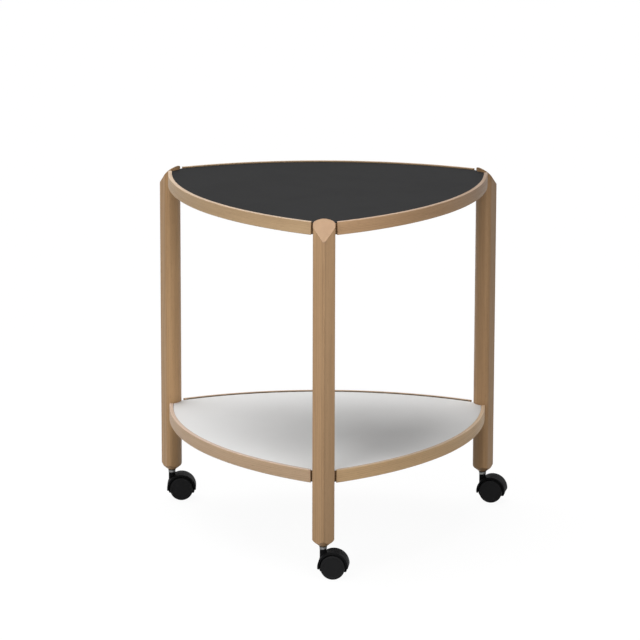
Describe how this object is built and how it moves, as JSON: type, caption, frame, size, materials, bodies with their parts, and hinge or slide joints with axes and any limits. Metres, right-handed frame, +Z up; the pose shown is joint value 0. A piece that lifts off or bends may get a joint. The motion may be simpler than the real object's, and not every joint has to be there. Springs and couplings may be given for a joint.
{
  "type": "rolling table",
  "caption": "Low rolling side table with two rounded-triangle trays between ridged wooden legs, on hooded twin-wheel swivel casters.",
  "frame": {"origin": "on the floor, under the middle of the table's box in plan; the wheels stand on it", "axes": "+Z up, -Y to the front leg, +X to the right seen from the front; the casters trail to the right at rest"},
  "size_m": [0.6124, 0.5773, 0.5994],
  "materials": {
    "oak": "light oiled oak, satin",
    "core_board": "dark stained multi-ply board edge, matt",
    "black_laminate": "charcoal black laminate, fine matt",
    "white_laminate": "white laminate, fine satin",
    "zinc_steel": "zinc plated",
    "brass": "turned",
    "beech": "raw beech",
    "hood_plastic": "black moulded nylon, satin",
    "wheel_plastic": "black moulded nylon, satin",
    "socket_plastic": "black moulded nylon, dull",
    "bright_steel": "bright nickel-plated steel"
  },
  "bodies": {
    "table": {"leg_front": "oak", "leg_rear_left": "oak", "leg_rear_right": "oak", "upper_band_rear": "oak", "upper_band_left": "oak", "upper_band_right": "oak", "upper_board": "core_board", "upper_top_laminate": "black_laminate", "upper_under_laminate": "black_laminate", "upper_bolts": "zinc_steel", "upper_half_round_washers": "zinc_steel", "upper_leg_inserts": "brass", "upper_dowels": "beech", "lower_band_rear": "oak", "lower_band_left": "oak", "lower_band_right": "oak", "lower_board": "core_board", "lower_top_laminate": "white_laminate", "lower_under_laminate": "white_laminate", "lower_bolts": "zinc_steel", "lower_half_round_washers": "zinc_steel", "lower_leg_inserts": "brass", "lower_dowels": "beech", "caster_front_socket": "socket_plastic", "caster_front_stem": "bright_steel", "caster_front_grip_ring": "bright_steel", "caster_rear_left_socket": "socket_plastic", "caster_rear_left_stem": "bright_steel", "caster_rear_left_grip_ring": "bright_steel", "caster_rear_right_socket": "socket_plastic", "caster_rear_right_stem": "bright_steel", "caster_rear_right_grip_ring": "bright_steel"},
    "caster_front": {"caster_front_hood": "hood_plastic", "caster_front_axle": "bright_steel"},
    "caster_front_wheel_near": {"caster_front_wheel_near": "wheel_plastic"},
    "caster_front_wheel_far": {"caster_front_wheel_far": "wheel_plastic"},
    "caster_rear_left": {"caster_rear_left_hood": "hood_plastic", "caster_rear_left_axle": "bright_steel"},
    "caster_rear_left_wheel_near": {"caster_rear_left_wheel_near": "wheel_plastic"},
    "caster_rear_left_wheel_far": {"caster_rear_left_wheel_far": "wheel_plastic"},
    "caster_rear_right": {"caster_rear_right_hood": "hood_plastic", "caster_rear_right_axle": "bright_steel"},
    "caster_rear_right_wheel_near": {"caster_rear_right_wheel_near": "wheel_plastic"},
    "caster_rear_right_wheel_far": {"caster_rear_right_wheel_far": "wheel_plastic"}
  },
  "joints": [
    {"name": "caster_front_swivel", "type": "hinge", "parent": "table", "child": "caster_front", "pos_m": [-0.01309, -0.26782, 0.0473], "axis": [0, 0, 1], "continuous": true},
    {"name": "caster_front_wheel_near_spin", "type": "hinge", "parent": "caster_front", "child": "caster_front_wheel_near", "pos_m": [0.00386, -0.26922, 0.0203], "axis": [0.0819, 0.9966, 0], "continuous": true},
    {"name": "caster_front_wheel_far_spin", "type": "hinge", "parent": "caster_front", "child": "caster_front_wheel_far", "pos_m": [0.00386, -0.26922, 0.0203], "axis": [0.0819, 0.9966, 0], "continuous": true},
    {"name": "caster_rear_left_swivel", "type": "hinge", "parent": "table", "child": "caster_rear_left", "pos_m": [-0.28779, 0.20798, 0.0473], "axis": [0, 0, 1], "continuous": true},
    {"name": "caster_rear_left_wheel_near_spin", "type": "hinge", "parent": "caster_rear_left", "child": "caster_rear_left_wheel_near", "pos_m": [-0.2708, 0.20845, 0.0203], "axis": [-0.0279, 0.9996, 0], "continuous": true},
    {"name": "caster_rear_left_wheel_far_spin", "type": "hinge", "parent": "caster_rear_left", "child": "caster_rear_left_wheel_far", "pos_m": [-0.2708, 0.20845, 0.0203], "axis": [-0.0279, 0.9996, 0], "continuous": true},
    {"name": "caster_rear_right_swivel", "type": "hinge", "parent": "table", "child": "caster_rear_right", "pos_m": [0.26162, 0.20798, 0.0473], "axis": [0, 0, 1], "continuous": true},
    {"name": "caster_rear_right_wheel_near_spin", "type": "hinge", "parent": "caster_rear_right", "child": "caster_rear_right_wheel_near", "pos_m": [0.27832, 0.20482, 0.0203], "axis": [0.1857, 0.9826, 0], "continuous": true},
    {"name": "caster_rear_right_wheel_far_spin", "type": "hinge", "parent": "caster_rear_right", "child": "caster_rear_right_wheel_far", "pos_m": [0.27832, 0.20482, 0.0203], "axis": [0.1857, 0.9826, 0], "continuous": true}
  ]
}
